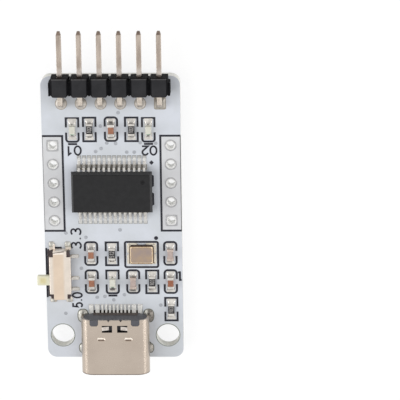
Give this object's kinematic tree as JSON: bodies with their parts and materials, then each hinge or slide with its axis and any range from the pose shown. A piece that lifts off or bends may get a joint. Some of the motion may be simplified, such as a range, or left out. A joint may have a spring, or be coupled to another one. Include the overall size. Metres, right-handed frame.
{
  "type": "USB to serial adapter module",
  "caption": "White circuit module with a USB-C socket, converter chip, voltage slide switch and a right-angle pin header.",
  "frame": {"origin": "midway between the two mounting holes, at the board's underside", "axes": "+Y along the board towards the pin header, +Z out of the component side, +X to the right with the header away from the viewer"},
  "size_m": [0.0189, 0.0458, 0.0062],
  "materials": {
    "board_white": "white solder mask, satin gloss",
    "tinned_copper": "tinned, satin",
    "header_black": "moulded, satin",
    "pin_tin": "tin plated, bright",
    "solder": "solder, bright",
    "chip_epoxy": "moulded epoxy, matt",
    "lead_tin": "tin plated, satin",
    "crystal_ceramic": "brown ceramic",
    "crystal_metal": "plated lid, satin",
    "switch_black": "moulded, satin",
    "switch_metal": "plated sheet, bright",
    "slider_cream": "moulded, satin",
    "spring_bronze": "plated spring strip",
    "shell_nickel": "nickel plated, satin bright",
    "socket_black": "moulded, matt",
    "contact_gold": "gold plated",
    "mid_plate_steel": "stamped, satin",
    "led_carrier": "white laminate",
    "led_resin": "clear resin over a pale phosphor",
    "resistor_black": "overglaze on ceramic",
    "capacitor_brown": "fired ceramic, matt",
    "capacitor_grey": "fired ceramic, matt"
  },
  "bodies": {
    "module": {"capacitor_1": "capacitor_brown", "capacitor_2": "capacitor_brown", "capacitor_3": "capacitor_grey", "capacitor_4": "capacitor_brown", "capacitor_5": "capacitor_grey", "capacitor_6": "capacitor_brown", "capacitor_caps": "lead_tin", "chip_body": "chip_epoxy", "chip_leads_header_side": "lead_tin", "chip_leads_socket_side": "lead_tin", "circuit_board": "board_white", "crystal_base": "crystal_ceramic", "crystal_lid": "crystal_metal", "crystal_ring": "crystal_metal", "header_housing": "header_black", "header_pin_1": "pin_tin", "header_pin_2": "pin_tin", "header_pin_3": "pin_tin", "header_pin_4": "pin_tin", "header_pin_5": "pin_tin", "header_pin_6": "pin_tin", "header_solder": "solder", "led_1_base": "led_carrier", "led_1_lens": "led_resin", "led_2_base": "led_carrier", "led_2_lens": "led_resin", "led_3_base": "led_carrier", "led_3_lens": "led_resin", "resistor_1": "resistor_black", "resistor_2": "resistor_black", "resistor_3": "resistor_black", "resistor_4": "resistor_black", "resistor_5": "resistor_black", "resistor_terminals": "lead_tin", "socket_contacts": "contact_gold", "socket_housing": "socket_black", "socket_mid_plate": "mid_plate_steel", "socket_shell": "shell_nickel", "socket_solder": "solder", "surface_pads": "tinned_copper", "switch_base": "switch_black", "switch_contacts": "lead_tin", "switch_cover": "switch_metal"},
    "slider": {"switch_slider": "slider_cream", "switch_wiper": "spring_bronze"}
  },
  "joints": [
    {"name": "knob_slide", "type": "slide", "parent": "module", "child": "slider", "axis": [0, 1, 0], "range_m": [0, 0.0015]}
  ]
}
